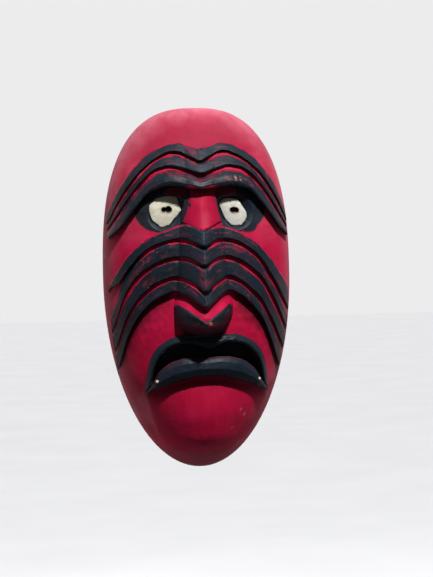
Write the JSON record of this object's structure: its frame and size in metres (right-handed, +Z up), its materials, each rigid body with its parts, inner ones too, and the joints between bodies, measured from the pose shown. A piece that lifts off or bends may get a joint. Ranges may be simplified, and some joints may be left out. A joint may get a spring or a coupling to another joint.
{
  "type": "mexican folk art mask",
  "caption": "Long oval carved wooden face mask, painted red with black banded brows and cheeks, peephole eyes, wedge nose, down-turned mouth, hollow back and hanging ring.",
  "frame": {"origin": "top middle of the flat back rim, in the plane where the rim meets a wall", "axes": "+Z up, the face looks along -Y, +Y out of the hollow back, +X to the viewer's right"},
  "size_m": [0.172, 0.09, 0.33],
  "materials": {
    "red_paint": "carved wood with worn satin crimson paint, bare inside",
    "black_paint": "carved wood with satin blue-black paint",
    "cream_paint": "carved wood with matt cream paint",
    "peg_wood": "bare wood",
    "steel": "dull zinc-plated steel"
  },
  "bodies": {
    "mask": {"face_shell": "red_paint", "brow_band_upper": "black_paint", "brow_band_middle": "black_paint", "brow_roll": "black_paint", "cheek_band_1": "black_paint", "cheek_band_2": "black_paint", "cheek_band_3": "black_paint", "cheek_band_4": "black_paint", "nose_bridge": "red_paint", "nose_tip": "black_paint", "upper_lip": "black_paint", "lower_lip": "black_paint", "lip_pegs": "peg_wood", "eye_disc_left": "cream_paint", "eye_disc_right": "cream_paint", "hanger_strap": "steel", "hanger_screws": "steel"},
    "ring": {"hanger_ring": "steel"}
  },
  "joints": [
    {"name": "ring_hinge", "type": "hinge", "parent": "mask", "child": "ring", "pos_m": [0, -0.009, -0.02], "axis": [1, 0, 0], "range_deg": [-3, 170]}
  ]
}
